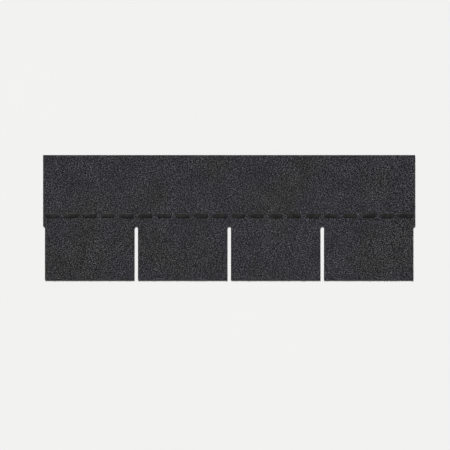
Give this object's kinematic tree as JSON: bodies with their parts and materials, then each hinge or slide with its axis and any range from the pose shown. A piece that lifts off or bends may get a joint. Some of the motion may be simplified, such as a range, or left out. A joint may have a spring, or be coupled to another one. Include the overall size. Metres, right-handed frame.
{
  "type": "four-tab asphalt strip shingle",
  "caption": "Flat granule-surfaced asphalt strip shingle with square tabs divided by narrow round-ended cutouts, an adhesive seal strip above them and a release film on the back.",
  "frame": {"origin": "centre of the back face, which lies on the floor or on the roof deck", "axes": "+X along the course, +Y up the roof slope from the butt edge to the top edge, +Z out of the weather face"},
  "size_m": [1, 0.336, 0.0038],
  "materials": {
    "granule_surfaced_asphalt": "matte",
    "seal_adhesive": "satin",
    "release_film": "gloss"
  },
  "bodies": {
    "root": {"shingle": "granule_surfaced_asphalt", "seal_strip": "seal_adhesive", "release_film": "release_film"}
  },
  "joints": []
}
